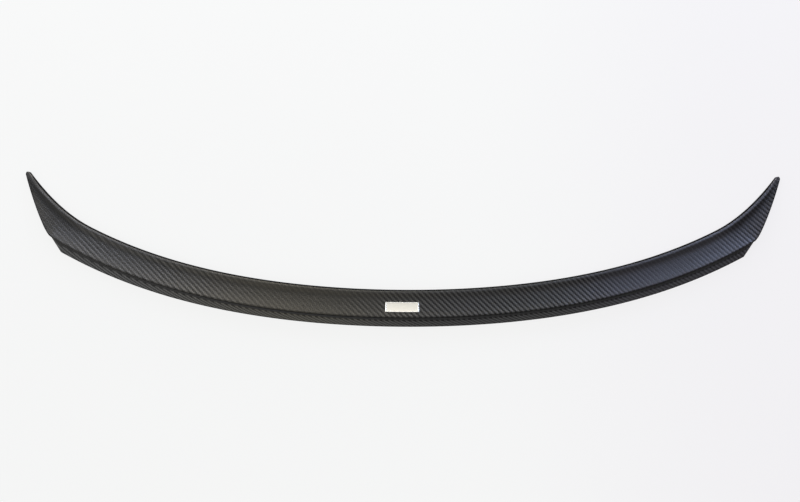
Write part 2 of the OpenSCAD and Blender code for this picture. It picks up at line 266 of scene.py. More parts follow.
def body_section(c, h, floor, share, lean):
    """Points round the section, and how many of them lie on its face."""
    sec = Section(c, h)
    e, nose = sec.round, -wall - edge_turn
    start = math.asin(e / (wall + edge_turn))
    front = [(sec.wall - e, nose), (e, nose)]
    rim = [
        (sec.rim * (1 - math.cos(a) ** rim_full), (wall + edge_turn) * (math.sin(a) ** rim_full - 1))
        for a in np.linspace(start, math.pi / 2, rim_points)
    ]
    front += eased(front[-1], (0, nose), rim[0]) + rim[1:]
    dish_end = mix(sec.rim, c, dish_end_share)
    stops = list(np.linspace(sec.rim, dish_end, dish_points)[1:])
    ramp = stops + list(np.linspace(dish_end, sec.ramp_end, ramp_points)[1:])
    front += [(s, sec.top(s)) for s in ramp]
    front += arc((c - sec.lip, sec.lip_z), sec.lip, math.pi / 2 + sec.tilt, 0, lip_round_steps)[1:]
    plain, full = plain_tail(sec), full_tail(sec, floor, lean)
    tail = [tuple(mix(np.array(a), np.array(b), share)) for a, b in zip(plain, full)]
    inside = stops + list(np.linspace(dish_end, c - sec.wall, ramp_points)[1:])
    under = [(s, sec.soffit(s)) for s in reversed(inside[:-1])]
    inner = sec.rim - sec.wall
    roof = mix(nose + closing_step, -wall, sec.hollow)
    nose_turn = 0.35
    under += [
        (sec.rim - inner * math.cos(a), mix(nose, roof, math.sin(a)))
        for a in np.linspace(math.pi / 2, nose_turn, nose_points)
    ]
    under += eased(under[-1], (sec.wall, nose), (sec.wall - e, nose))[:-1]
    return np.array(front + tail + under), len(front)


middle_rings, cut_rings, corner_rings, side_rings = 118, 8, 14, 34
tip_turns = (8, 16, 24, 32, 40, 48, 56, 63, 70, 76, 82, 86)
half_stations = [station(cut_t * i / middle_rings) for i in range(middle_rings + 1)]
for first, last, count in (
    (cut_t, lip_end_t, cut_rings),
    (lip_end_t, side_start_t, corner_rings),
    (side_start_t, 1, side_rings),
):
    half_stations += [station(mix(first, last, i / count)) for i in range(1, count + 1)]
half_stations += [tip_station(math.radians(a)) for a in tip_turns]

# The cloth is laid from the crest of the rolled edge. Where it lies flat it keeps its plan, and
# it is measured along its surface where it turns down. Its back is laid from the same crest.
drape = 0.0008  # the cloth's outward shear with height, for each millimetre
flat_share = 0.8
crest_at = ease_steps + rim_points
back_crest_at = 1 - nose_points - ease_steps
rings, cloth_face, cloth_back, from_edge = [], [], [], []
for start, direction, chord, rise, rim, share, lean in half_stations:
    points, face_count = body_section(chord, rise, -rim, share, lean)
    moves = np.roll(points, -1, 0) - points
    steps = np.hypot(*moves.T)
    flat = abs(moves[:, 0]) > flat_share * steps
    steps[flat] = abs(moves[flat, 0])
    along = np.concatenate([[0], np.cumsum(steps)[:-1]])
    plan = start + points[:, :1] * direction
    rings.append(np.column_stack([plan, rim + points[:, 1]]))
    crest = points[crest_at, 0]
    outside = start + (along - along[crest_at] + crest)[:, None] * direction
    inside = start + (along[back_crest_at] - along + crest)[:, None] * direction
    for cloth in (outside, inside):
        cloth[:, 0] *= 1 + drape * (rim + points[:, 1])
    cloth_face.append(outside)
    cloth_back.append(inside)
    from_edge.append(np.column_stack([np.zeros(len(points)), points[:, 0] * mm]))


def both_sides(half):
    """The right half's rings with their mirror images, from the left tip to the right tip."""
    right = np.array(half)
    left = right[:0:-1].copy()
    left[..., 0] *= -1
    return np.concatenate([left, right])


rings = both_sides(rings)
cloth_face, cloth_back = both_sides(cloth_face), both_sides(cloth_back)
for grid in (rings, cloth_face, cloth_back):
    grid[..., 1] += frame_shift
    grid *= mm
ring_count, ring_size = rings.shape[:2]

# Where one finish gives way to the next, as points of the section in the order in which it runs
nose_foot = crest_at - 6
lip_turn = face_count - lip_round_steps // 2
lip_foot = face_count + lip_steps + 2
bend_start = face_count + lip_steps + groove_steps + shelf_steps
flange_low = face_count + outer_steps - 2
tail_foot = face_count + outer_steps + ease_steps - 1
plain_rings = sum(1 for s in half_stations if s[5] == 0)
face_zone, trim_and_shade_zone, back_zone, flange_zone, groove_zone = range(5)


# The dark finish of the trimmed edges also runs up the rolled edge's lower curve, over the lip's rounded
# back and face, onto the flange's foot and over the ends' turned-down edges, as painted shade.
def laminate_zone(i, j):
    """Which finish the laminate has between rings i and i + 1, past point j of the section."""
    at_end = i < plain_rings or i >= ring_count - plain_rings
    if j < nose_foot or j >= ring_size - 1:
        return trim_and_shade_zone
    if j < lip_turn - 3 * at_end:
        return face_zone
    if lip_foot <= j < bend_start and not at_end:
        return groove_zone
    if j >= tail_foot + 2:
        return back_zone
    return flange_zone if bend_start <= j < flange_low and not at_end else trim_and_shade_zone


verts = rings.reshape(-1, 3).tolist()
faces, zones, uvs, depths = [], [], [], []
flat_face, flat_back = cloth_face.reshape(-1, 2), cloth_back.reshape(-1, 2)
flat_depth = both_sides(from_edge).reshape(-1, 2)
for i in range(ring_count - 1):
    for j in range(ring_size):
        k = (j + 1) % ring_size
        corners = (i * ring_size + j, i * ring_size + k, (i + 1) * ring_size + k, (i + 1) * ring_size + j)
        cloth = flat_face if j < tail_foot else flat_back
        faces.append(corners)
        zones.append(laminate_zone(i, j))
        uvs.extend(cloth[c] for c in corners)
        depths.extend(flat_depth[c] for c in corners)
for i, order in ((0, -1), (ring_count - 1, 1)):
    ring = list(range(i * ring_size, (i + 1) * ring_size))[::order]
    middle = len(verts)
    verts.append(rings[i].mean(0).tolist())
    centre = cloth_face[i].mean(0)
    for a, b in zip(ring, ring[1:] + ring[:1]):
        faces.append((a, b, middle))
        zones.append(face_zone)
        uvs.extend([flat_face[a], flat_face[b], centre])
        depths.extend([flat_depth[a], flat_depth[b], flat_depth[b]])


def placed(name, mesh):
    made = bpy.data.objects.new(name, mesh)
    bpy.context.scene.collection.objects.link(made)
    return made


body_mesh = bpy.data.meshes.new("laminate_body")
body_mesh.from_pydata(verts, [], faces)
for map_name, values in (("cloth", uvs), ("depth", depths)):
    laid = body_mesh.uv_layers.new(name=map_name)
    laid.data.foreach_set("uv", np.array(values, dtype=np.float32).ravel())
body_mesh.polygons.foreach_set("material_index", zones)
body_mesh.shade_smooth()
body = placed("laminate_body", body_mesh)
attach(body, "root")
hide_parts("shell")


def sockets(tree, ins, outs):
    for name, kind, value in ins:
        socket = tree.interface.new_socket(name=name, in_out="INPUT", socket_type=kind)
        if value is not None:
            socket.default_value = value
    for name, kind in outs:
        tree.interface.new_socket(name=name, in_out="OUTPUT", socket_type=kind)


class Wiring:
    """Adds nodes to one tree and joins their sockets."""

    def __init__(self, tree):
        self.tree = tree

    def node(self, kind, **settings):
        made = self.tree.nodes.new(kind)
        for name, value in settings.items():
            setattr(made, name, value)
        return made

    def put(self, socket, value):
        if isinstance(value, bpy.types.NodeSocket):
            self.tree.links.new(value, socket)
        else:
            socket.default_value = value

    def math(self, operation, *values):
        made = self.node("ShaderNodeMath", operation=operation)
        for socket, value in zip(made.inputs, values):
            self.put(socket, value)
        return made.outputs[0]

    def blend(self, factor, a, b, kind="FLOAT"):
        made = self.node("ShaderNodeMix", data_type=kind)
        first = {"FLOAT": 2, "RGBA": 6}[kind]
        self.put(made.inputs[0], factor)
        self.put(made.inputs[first], a)
        self.put(made.inputs[first + 1], b)
        return made.outputs[{"FLOAT": 0, "RGBA": 2}[kind]]

    def ranged(self, value, low, high, to_low, to_high):
        made = self.node("ShaderNodeMapRange", interpolation_type="SMOOTHSTEP")
        for socket, v in zip(made.inputs, (value, low, high, to_low, to_high)):
            self.put(socket, v)
        return made.outputs[0]

    def noise(self, vector, scale, detail=2.0, roughness=0.5):
        made = self.node("ShaderNodeTexNoise")
        self.put(made.inputs["Vector"], vector)
        made.inputs["Scale"].default_value = scale
        made.inputs["Detail"].default_value = detail
        made.inputs["Roughness"].default_value = roughness
        return made.outputs["Fac"]


# 2x2 twill: each tow passes over two and under two, one step on in each row. The group gives
# which set of tows is on top, the cloth's height, the fibres' streaks and the gaps between tows.
tow_width = 0.002
tow_repeat = 4.0
crown_height, crown_power = 0.6, 2.5
twill = bpy.data.node_groups.new("twill", "ShaderNodeTree")
sockets(
    twill,
    [("Cloth", "NodeSocketVector", None), ("Tow Width", "NodeSocketFloat", tow_width)],
    [
        ("Warp", "NodeSocketFloat"),
        ("Height", "NodeSocketFloat"),
        ("Streaks", "NodeSocketFloat"),
        ("Gap", "NodeSocketFloat"),
    ],
)
w = Wiring(twill)
given = w.node("NodeGroupInput")
result = w.node("NodeGroupOutput")
split = w.node("ShaderNodeSeparateXYZ")
w.put(split.inputs[0], given.outputs["Cloth"])
u = w.math("DIVIDE", split.outputs["X"], given.outputs["Tow Width"])
v = w.math("DIVIDE", split.outputs["Y"], given.outputs["Tow Width"])
column, row = w.math("FLOOR", u), w.math("FLOOR", v)


def float_height(place, sign):
    """How high a tow rides, 1 at the middle of its float and -1 under the crossing tows."""
    phase = w.math("FLOORED_MODULO", place, tow_repeat)
    turn = w.math("MULTIPLY", w.math("SUBTRACT", phase, 1.0), 2 * math.pi / tow_repeat)
    return w.math("MULTIPLY", w.math("COSINE", turn), sign)


def crown(place, index):
    """The tow's lens-shaped cross-section, highest along its middle and 0 at its edges."""
    off = w.math("SUBTRACT", w.math("MULTIPLY", w.math("SUBTRACT", place, index), 2.0), 1.0)
    lens = w.math("SUBTRACT", 1.0, w.math("POWER", w.math("ABSOLUTE", off), crown_power))
    return w.math("MULTIPLY", lens, crown_height)


warp_top = w.math("ADD", float_height(w.math("ADD", column, v), 1.0), crown(u, column))
weft_top = w.math("ADD", float_height(w.math("ADD", u, row), -1.0), crown(v, row))
difference = w.math("SUBTRACT", warp_top, weft_top)
warp_over = w.ranged(difference, -0.06, 0.06, 0.0, 1.0)
w.put(result.inputs["Warp"], warp_over)
top = w.math("MAXIMUM", warp_top, weft_top)


def fibre_streaks(along, over):
    """Fine lines that run with the fibres, in cloth coordinates stretched along the tow."""
    finer, longer = 9.0, 0.35
    joined = w.node("ShaderNodeCombineXYZ")
    w.put(joined.inputs[0], w.math("MULTIPLY", over, finer))
    w.put(joined.inputs[1], w.math("MULTIPLY", along, longer))
    return w.noise(joined.outputs[0], scale=1.0, detail=3.0, roughness=0.6)


fibre_height = 0.12
streaks = w.blend(warp_over, fibre_streaks(u, v), fibre_streaks(v, u))
w.put(result.inputs["Streaks"], streaks)
w.put(result.inputs["Height"], w.math("ADD", top, w.math("MULTIPLY", streaks, fibre_height)))
w.put(result.inputs["Gap"], w.ranged(top, 0.1, 0.75, 1.0, 0.0))


def spread_over(made, mask, low, high):
    """A value that runs from low to high as a noise goes from its usual least to its most."""
    return made.ranged(mask, 0.3, 0.7, low, high)


def patch(made, across, middle, half_width):
    """0.7 at the middle of a patch of the cloth, falling to 0 at its ends."""
    off = made.math("ABSOLUTE", made.math("SUBTRACT", across, middle))
    return made.ranged(off, 0.0, half_width, 0.7, 0.0)


# Painted light over the weave, with some random tone. Haze evens out the two tows' colours: at random in
# clouds, and as painted sheen in patches and towards the left end, where the tows' sheen under the light
# would even them out; the rolled edge and the dish are evened too. The warm and cool casts are painted
# casts of coloured light, and
# Tone brightens the rolled edge as a painted highlight, darkens the dish near the wing tips as painted
# shade and brightens the cloth left of the middle as painted light. The group gives the masks, from
# places across the car
# and back from the leading edge in metres: patches as middle and half width, the others as where each is
# full and none.
painted_sheen_patches = ((-0.15, 0.22), (0.39, 0.15))
painted_left_sheen = ((-0.42, -0.28), (-0.52, -0.45))
painted_warm_cast_patch = (-0.16, 0.26)
cool_cast_none, cool_cast_full = 0.18, 0.34
rolled_full, rolled_none = 0.0035, 0.0072
dish_full, dish_none = 0.01, 0.024
resin = bpy.data.node_groups.new("resin", "ShaderNodeTree")
sockets(
    resin,
    [
        ("Cloth", "NodeSocketVector", None),
        ("Depth", "NodeSocketVector", None),
        ("Sheen Share", "NodeSocketFloat", 1.0),
        ("Painted Left Light", "NodeSocketFloat", 1.0),
    ],
    [
        ("Haze", "NodeSocketFloat"),
        ("Painted Warm Cast", "NodeSocketFloat"),
        ("Painted Cool Cast", "NodeSocketFloat"),
        ("Tone", "NodeSocketFloat"),
    ],
)
coats = Wiring(resin)
given = coats.node("NodeGroupInput")
result = coats.node("NodeGroupOutput")
split = coats.node("ShaderNodeSeparateXYZ")
coats.put(split.inputs[0], given.outputs["Cloth"])
across = split.outputs["X"]
off_middle = coats.math("ABSOLUTE", across)
depth_split = coats.node("ShaderNodeSeparateXYZ")
coats.put(depth_split.inputs[0], given.outputs["Depth"])
from_front = depth_split.outputs["Y"]
rolled = coats.ranged(from_front, rolled_full, rolled_none, 1.0, 0.0)
in_dish = coats.ranged(from_front, dish_full, dish_none, 1.0, 0.0)

# The patches and the left end even out the tows' colours as painted sheen.
patches = coats.math("ADD", *(patch(coats, across, *place) for place in painted_sheen_patches))
for full, none in painted_left_sheen:
    patches = coats.math("ADD", patches, coats.ranged(across, full, none, 0.35, 0.0))
clouds = spread_over(coats, coats.noise(given.outputs["Cloth"], scale=28.0, detail=2.0), 0.0, 0.25)
haze = coats.math("ADD", coats.math("MULTIPLY", patches, given.outputs["Sheen Share"]), clouds)
haze = coats.math("ADD", haze, coats.math("MULTIPLY", rolled, 0.45))
haze = coats.math("ADD", haze, coats.math("MULTIPLY", in_dish, 0.15))
coats.put(result.inputs["Haze"], coats.math("MINIMUM", haze, 0.85))
# A painted warm cast of light, in a patch left of the middle.
coats.put(result.inputs["Painted Warm Cast"], patch(coats, across, *painted_warm_cast_patch))
# A painted cool cast of light towards the right end.
coats.put(result.inputs["Painted Cool Cast"], coats.ranged(across, cool_cast_none, cool_cast_full, 0.0, 1.0))

# Tone brightens the rolled edge, most towards the ends, as a painted highlight.
painted_crest_highlight = coats.ranged(off_middle, 0.4, 0.5, 1.25, 1.7)
# Tone darkens the dish near the wing tips, as painted shade.
painted_tip_shade = coats.math("MULTIPLY", in_dish, coats.ranged(off_middle, 0.45, 0.49, 0.0, 0.4))
painted_light_and_shade = coats.blend(rolled, coats.math("SUBTRACT", 1.0, painted_tip_shade), painted_crest_highlight)
# Tone is raised to the left of the middle, as painted light, by a factor that each material gives.
painted_left_light = coats.ranged(across, -0.12, 0.06, given.outputs["Painted Left Light"], 1.0)
coats.put(result.inputs["Tone"], coats.math("MULTIPLY", painted_left_light, painted_light_and_shade))


def new_material(name):
    material = bpy.data.materials.new(name)
    material.use_nodes = True
    tree = material.node_tree
    tree.nodes.clear()
    made = Wiring(tree)
    shader = made.node("ShaderNodeBsdfPrincipled")
    out = made.node("ShaderNodeOutputMaterial")
    tree.links.new(shader.outputs[0], out.inputs[0])
    return material, made, shader


def rgb(r, g, b):
    return (r, g, b, 1.0)


def raised(made, shader, height, distance, strength=1.0):
    """Gives the surface a relief that follows a height, as deep as a distance in metres."""
    bump = made.node("ShaderNodeBump")
    bump.inputs["Strength"].default_value = strength
    bump.inputs["Distance"].default_value = distance
    made.put(bump.inputs["Height"], height)
    made.put(shader.inputs["Normal"], bump.outputs[0])


def object_place(made):
    return made.node("ShaderNodeTexCoord").outputs["Object"]


def painted_warm_cast(colour):
    """A colour with a painted warm cast of light."""
    return rgb(colour[0] * 1.07, colour[1], colour[2] * 0.78)


def painted_cool_cast(colour):
    """A colour with the painted cool cast of light at the right end."""
    return rgb(colour[0], colour[1] * 0.98, colour[2] * 1.13)


def twill_material(name, warp_colour, weft_colour, roughness, relief, painted_left_light=1.0, sheen_share=1.0):
    """Twill in its tows' colours, evened where the haze lies, with painted light, shade and casts over
    it.
    """
    material, made, shader = new_material(name)
    cloth = made.node("ShaderNodeUVMap", uv_map="cloth").outputs[0]
    weave = made.node("ShaderNodeGroup", node_tree=twill)
    weave.inputs["Tow Width"].default_value = tow_width
    made.put(weave.inputs["Cloth"], cloth)
    coating = made.node("ShaderNodeGroup", node_tree=resin)
    coating.inputs["Sheen Share"].default_value = sheen_share
    coating.inputs["Painted Left Light"].default_value = painted_left_light
    made.put(coating.inputs["Cloth"], cloth)
    made.put(coating.inputs["Depth"], made.node("ShaderNodeUVMap", uv_map="depth").outputs[0])

    hidden_share = 0.45
    warp_over = made.blend(coating.outputs["Haze"], weave.outputs["Warp"], hidden_share)
    tows = []
    # Each tow colour takes the painted warm and cool casts of light where their masks lie.
    for colour in (weft_colour, warp_colour):
        toned = made.blend(coating.outputs["Painted Warm Cast"], colour, painted_warm_cast(colour), "RGBA")
        tows.append(made.blend(coating.outputs["Painted Cool Cast"], toned, painted_cool_cast(colour), "RGBA"))
    woven = made.blend(warp_over, *tows, "RGBA")
    gap_colour = rgb(0.008, 0.008, 0.009)
    streaked = spread_over(made, weave.outputs["Streaks"], 0.75, 1.3)
    shade = made.node("ShaderNodeHueSaturation")
    made.put(shade.inputs["Color"], made.blend(weave.outputs["Gap"], woven, gap_colour, "RGBA"))
    made.put(shade.inputs["Value"], made.math("MULTIPLY", streaked, coating.outputs["Tone"]))
    made.put(shader.inputs["Base Color"], shade.outputs[0])
    rough = spread_over(made, weave.outputs["Streaks"], roughness - 0.05, roughness + 0.06)
    made.put(shader.inputs["Roughness"], rough)
    raised(made, shader, weave.outputs["Height"], relief)
    return material, made, shader


face_finish, made, shader = twill_material(
    "satin_twill",
    warp_colour=rgb(0.084, 0.082, 0.08),
    weft_colour=rgb(0.0132, 0.013, 0.0127),
    roughness=0.34,
    relief=0.0001,
    painted_left_light=1.05,
)
shader.inputs["Metallic"].default_value = 0.8
shader.inputs["Specular IOR Level"].default_value = 0.35
shader.inputs["Coat Weight"].default_value = 0.1
shader.inputs["Coat Roughness"].default_value = 0.2

# The flange's twill is a darker, duller copy of the face's, as painted shade, and it is brightened nearly
# twofold to the left of the middle, as painted light.
shaded_flange_finish, made, shader = twill_material(
    "matt_twill_painted_shade",
    warp_colour=rgb(0.064, 0.064, 0.065),
    weft_colour=rgb(0.014, 0.014, 0.014),
    roughness=0.5,
    relief=0.0001,
    painted_left_light=1.9,
    sheen_share=0.35,
)
shader.inputs["Metallic"].default_value = 0.5
shader.inputs["Specular IOR Level"].default_value = 0.0

# Dark raw cut on the trimmed edges, and painted shade where it runs onto the lacquered faces.
trim_and_shade_finish, made, shader = new_material("trimmed_edge_and_painted_shade")
grain = made.noise(object_place(made), scale=900.0, detail=4.0)
trim_and_shade_colour = made.blend(grain, rgb(0.003, 0.003, 0.003), rgb(0.013, 0.013, 0.013), "RGBA")
made.put(shader.inputs["Base Color"], trim_and_shade_colour)
made.put(shader.inputs["Roughness"], spread_over(made, grain, 0.55, 0.8))
shader.inputs["Specular IOR Level"].default_value = 0.05
raised(made, shader, grain, 0.0001)

back_finish, made, shader = twill_material(
    "raw_twill_back",
    warp_colour=rgb(0.045, 0.045, 0.046),
    weft_colour=rgb(0.014, 0.014, 0.015),
    roughness=0.62,
    relief=0.0002,
)

groove_finish, made, shader = new_material("groove_resin")
ripple = made.noise(object_place(made), scale=260.0, detail=3.0)
groove_colour = made.blend(ripple, rgb(0.026, 0.026, 0.026), rgb(0.06, 0.06, 0.061), "RGBA")
made.put(shader.inputs["Base Color"], groove_colour)
made.put(shader.inputs["Roughness"], spread_over(made, ripple, 0.35, 0.5))
shader.inputs["Metallic"].default_value = 0.7
shader.inputs["Specular IOR Level"].default_value = 0.2
raised(made, shader, ripple, 0.0001)

for finish in (face_finish, trim_and_shade_finish, back_finish, shaded_flange_finish, groove_finish):
    body_mesh.materials.append(finish)

# Badge plate: bare satin aluminium 0.8 mm thick, stamped with a fine raised border and curved to
# the ramp. A clear adhesive film, a little smaller than the plate, bonds it to the lacquer.
plate_length, plate_depth, plate_offset = 46.5, 14.5, 18.4
plate_thick, plate_corner = 0.8, 0.5
film_thick, film_inset = 0.25, 0.6
seat_gap, plate_gap = 0.18, 0.02
plate_low = seat_gap + film_thick + plate_gap
plate_high = plate_low + plate_thick


def set_out(x, points):
    """Section points (s, z) at a distance x across the car, as points in metres."""
    start, direction, _, _, rim, _, _ = station(abs(x) / lead_end[0])
    hand = -1 if x < 0 else 1
    points_out = []
    for s, z in points:
        across, ahead = start + direction * s
        points_out.append((hand * across * mm, (ahead + frame_shift) * mm, (rim + z) * mm))
    return points_out


def ramp_loop(inset, height, scale=1.0):
    """A loop round the plate, a distance inside its edge, at a height above the ramp."""
    least_radius, corner_points, long_steps, short_steps = 0.12, 7, 16, 6
    radius = max(least_radius, plate_corner - inset)
    half = np.array([plate_length / 2 - inset - radius, plate_depth / 2 - inset - radius])
    hands = ((1, 1), (-1, 1), (-1, -1), (1, -1))
    loop = []
    for quarter, hand in enumerate(hands):
        corner, after = half * hand, half * hands[(quarter + 1) % 4]
        for a in np.linspace(quarter * math.pi / 2, (quarter + 1) * math.pi / 2, corner_points):
            loop.append(corner + radius * np.array([math.cos(a), math.sin(a)]))
        turned = loop[-1]
        steps = long_steps if quarter % 2 == 0 else short_steps
        loop += [turned + (after - corner) * i / steps for i in range(1, steps)]
    points = []
    for x, y in loop:
        x, s = x * scale, plate_offset + plate_depth / 2 - y * scale
        _, _, chord, rise, _, _, _ = station(abs(x) / lead_end[0])
        points += set_out(x, [(s, Section(chord, rise).top(s) + height)])
    return points


def closed_loops(name, loops, sharp):
    """A solid from loops that run from the middle of its underside, out, up and in again."""
    count = len(loops[0])
    points = [p for loop in loops for p in loop]
    quads = []
    for i in range(len(loops) - 1):
        for j in range(count):
            k = (j + 1) % count
            quads.append((i * count + j, i * count + k, (i + 1) * count + k, (i + 1) * count + j))
    for i, order in ((0, -1), (len(loops) - 1, 1)):
        middle = len(points)
        points.append(tuple(np.mean(loops[i], axis=0)))
        ring = list(range(i * count, (i + 1) * count))[::order]
        quads += [(a, b, middle) for a, b in zip(ring, ring[1:] + ring[:1])]
    mesh = bpy.data.meshes.new(name)
    mesh.from_pydata(points, [], quads)
    outward = bmesh.new()
    outward.from_mesh(mesh)
    bmesh.ops.recalc_face_normals(outward, faces=outward.faces)
    outward.to_mesh(mesh)
    outward.free()
    mesh.shade_smooth()
    mesh.set_sharp_from_angle(angle=math.radians(sharp))
    return placed(name, mesh)


# The plate's edge from its underside up to the border, as insets and heights, then the step from
# the border down to the field
inward = [0.05, 0.2, 0.35, 0.5, 0.65, 0.8, 0.9]
lower_edge = ((0.2, 0), (0.04, 0.04), (0, 0.15))
upper_edge = ((0, 0.35), (0.05, 0.18), (0.16, 0.06), (0.32, 0), (1.25, 0), (1.35, 0.02))
field_edge = ((1.46, 0.1), (1.56, 0.13))
field_inset, field_drop = field_edge[-1]
plate_loops = [ramp_loop(lower_edge[0][0], plate_low, k) for k in inward]
plate_loops += [ramp_loop(inset, plate_low + up) for inset, up in lower_edge]
plate_loops += [ramp_loop(inset, plate_high - down) for inset, down in upper_edge]
field_start = len(plate_loops) - 1
plate_loops += [ramp_loop(inset, plate_high - down) for inset, down in field_edge]
plate_loops += [ramp_loop(field_inset, plate_high - field_drop, k) for k in (0.97, *inward[::-1])]
plate = closed_loops("badge_plate_metal", plate_loops, sharp=42)
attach(plate, "root")
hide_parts("badge_plate")

brushing = bpy.data.node_groups.new("brushing", "ShaderNodeTree")
sockets(
    brushing,
    [("Place", "NodeSocketVector", None)],
    [("Strokes", "NodeSocketFloat"), ("Cloudy", "NodeSocketFloat")],
)
brush = Wiring(brushing)
given = brush.node("NodeGroupInput")
result = brush.node("NodeGroupOutput")
stretch = brush.node("ShaderNodeMapping")
stretch.inputs["Scale"].default_value = (60.0, 2600.0, 2600.0)
brush.put(stretch.inputs[0], given.outputs["Place"])
strokes = brush.noise(stretch.outputs[0], scale=1.0, detail=4.0, roughness=0.65)
brush.put(result.inputs["Strokes"], strokes)
brush.put(result.inputs["Cloudy"], brush.noise(given.outputs["Place"], scale=130.0, detail=3.0))

for name, dull, bright, rough in (
    ("polished_border", rgb(0.9, 0.885, 0.84), rgb(0.97, 0.96, 0.92), 0.26),
    ("satin_field", rgb(0.78, 0.74, 0.65), rgb(0.88, 0.845, 0.75), 0.38),
):
    finish, made, shader = new_material(name)
    brushed = made.node("ShaderNodeGroup", node_tree=brushing)
    made.put(brushed.inputs["Place"], object_place(made))
    strokes, cloudy = brushed.outputs["Strokes"], brushed.outputs["Cloudy"]
    metal = made.blend(strokes, dull, bright, "RGBA")
    middling = tuple(mix(np.array(dull), np.array(bright), 0.6))
    made.put(shader.inputs["Base Color"], made.blend(cloudy, metal, middling, "RGBA"))
    made.put(shader.inputs["Roughness"], made.ranged(strokes, 0.25, 0.75, rough - 0.05, rough + 0.07))
    shader.inputs["Metallic"].default_value = 0.9
    raised(made, shader, strokes, 0.00002, strength=0.35)
    plate.data.materials.append(finish)
field_faces = field_start * len(plate_loops[0])
for face in plate.data.polygons:
    face.material_index = 1 if face.index >= field_faces else 0

film_top = seat_gap + film_thick
film_edge = ((film_inset, seat_gap), (film_inset - 0.03, seat_gap + 0.08), (film_inset, film_top))
film_loops = [ramp_loop(film_inset, seat_gap, k) for k in inward]
film_loops += [ramp_loop(inset, height) for inset, height in film_edge]
film_loops += [ramp_loop(film_inset, film_top, k) for k in inward[::-1]]
film = closed_loops("plate_film_clear", film_loops, sharp=50)
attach(film, "root")
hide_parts("plate_film")
film_finish, made, shader = new_material("clear_film")
haze = made.noise(object_place(made), scale=700.0, detail=3.0)
film_colour = made.blend(haze, rgb(0.36, 0.36, 0.35), rgb(0.48, 0.48, 0.46), "RGBA")
made.put(shader.inputs["Base Color"], film_colour)
made.put(shader.inputs["Roughness"], spread_over(made, haze, 0.25, 0.4))
film.data.materials.append(film_finish)

# Mounting tape: closed-cell acrylic foam, die-cut into three lengths under the dish and three
# inside the flange, each stuck to the raw laminate.
front_tape_offset, front_tape_width = 0.6, 9.0
rear_tape_start, rear_tape_width = 1.6, 6.0
front_tape_inset, rear_tape_inset = 42, 100
tape_thick, tape_gap, tape_round = 1.1, 5.0, 0.12
front_points, rear_points, strip_steps = 9, 7, 90
front_reach = overall_width / 2 - front_tape_inset
rear_reach = overall_width / 2 - rear_tape_inset


def strip_section(start, width, near, far, e, count):
    """A flat strip's section, its corners eased by e: places along it, each with a depth."""
    a, b = start, start + width
    row = [(a, near + e), (a + e, near)] + [(s, near) for s in np.linspace(a, b, count)[1:-1]]
    row += [(b - e, near), (b, near + e), (b, far - e), (b - e, far)]
    return row + [(s, far) for s in np.linspace(b, a, count)[1:-1]] + [(a + e, far), (a, far - e)]


def front_layer(x, near, far, e):
    """Ring of the layer under the dish, between two depths below the laminate."""
    _, _, chord, rise, _, _, _ = station(abs(x) / lead_end[0])
    sec = Section(chord, rise)
    row = strip_section(rim_width + front_tape_offset, front_tape_width, near, far, e, front_points)
    return set_out(x, [(s, sec.under(s) - depth) for s, depth in row])


def rear_layer(x, near, far, e):
    """Ring of the layer on the flange's inner side, between two distances from it."""
    _, _, chord, rise, rim, _, lean = station(abs(x) / lead_end[0])
    sec = Section(chord, rise)
    groove = sec.lip_z - lip_face
    turn = math.atan2(groove + rim, lean)
    slant = math.sin(turn)
    row = strip_section(rear_tape_start - rim, rear_tape_width * slant, near, far, e, rear_points)
    corner = chord + groove_width
    return set_out(x, [(corner + (groove - z) / math.tan(turn) - (wall + d) / slant, z) for z, d in row])


def strip_stops(place, reach, tab=0.0):
    """Stops along one length (-1 left, 0 middle, 1 right), with a tab on an outer one."""
    third = (2 * reach - 2 * tape_gap) / 3
    if place == 0:
        return np.linspace(-third / 2, third / 2, strip_steps + 1)
    outer = np.linspace(third / 2 + tape_gap, reach, strip_steps + 1)
    if tab:
        outer = np.append(outer, [reach + tab / 2, reach + tab])
    return place * outer


foam_finish, made, shader = new_material("foam")
place = object_place(made)
cells = made.node("ShaderNodeTexVoronoi")
cells.inputs["Scale"].default_value = 3200.0
made.put(cells.inputs["Vector"], place)
pores = made.ranged(cells.outputs["Distance"], 0.1, 0.55, 0.0, 1.0)
mottle = made.noise(place, scale=260.0, detail=3.0)
foam_base = made.blend(mottle, rgb(0.075, 0.075, 0.078), rgb(0.12, 0.12, 0.125), "RGBA")
made.put(shader.inputs["Base Color"], made.blend(pores, rgb(0.04, 0.04, 0.042), foam_base, "RGBA"))
made.put(shader.inputs["Roughness"], spread_over(made, mottle, 0.75, 0.9))
raised(made, shader, pores, 0.00008, strength=0.7)

sides = ((-1, "left"), (0, "middle"), (1, "right"))
tape_top, tape_bottom = seat_gap, seat_gap + tape_thick
for layer, reach, row in ((front_layer, front_reach, "front"), (rear_layer, rear_reach, "rear")):
    for side, word in sides:
        rings = [layer(x, tape_top, tape_bottom, tape_round) for x in strip_stops(side, reach)]
        tape = closed_loops(f"foam_{row}_{word}", rings, sharp=50)
        tape.data.materials.append(foam_finish)
        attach(tape, "root")
        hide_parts(f"{row}_tape_{word}")

# Release liners: red film 0.15 mm thick, still on the tapes' free side. Each outer one runs on
# past its tape as a pull tab.
liner_thick, liner_tab, liner_round = 0.15, 8.0, 0.03
liner_bottom = tape_bottom + liner_thick
liner_finish, made, shader = new_material("red_liner")
place = object_place(made)
creases = made.noise(place, scale=85.0, detail=4.0, roughness=0.55)
tint = made.noise(place, scale=22.0, detail=2.0)
liner_colour = made.blend(tint, rgb(0.5, 0.035, 0.03), rgb(0.62, 0.06, 0.05), "RGBA")
made.put(shader.inputs["Base Color"], liner_colour)
made.put(shader.inputs["Roughness"], spread_over(made, creases, 0.24, 0.36))
raised(made, shader, creases, 0.0003, strength=0.5)

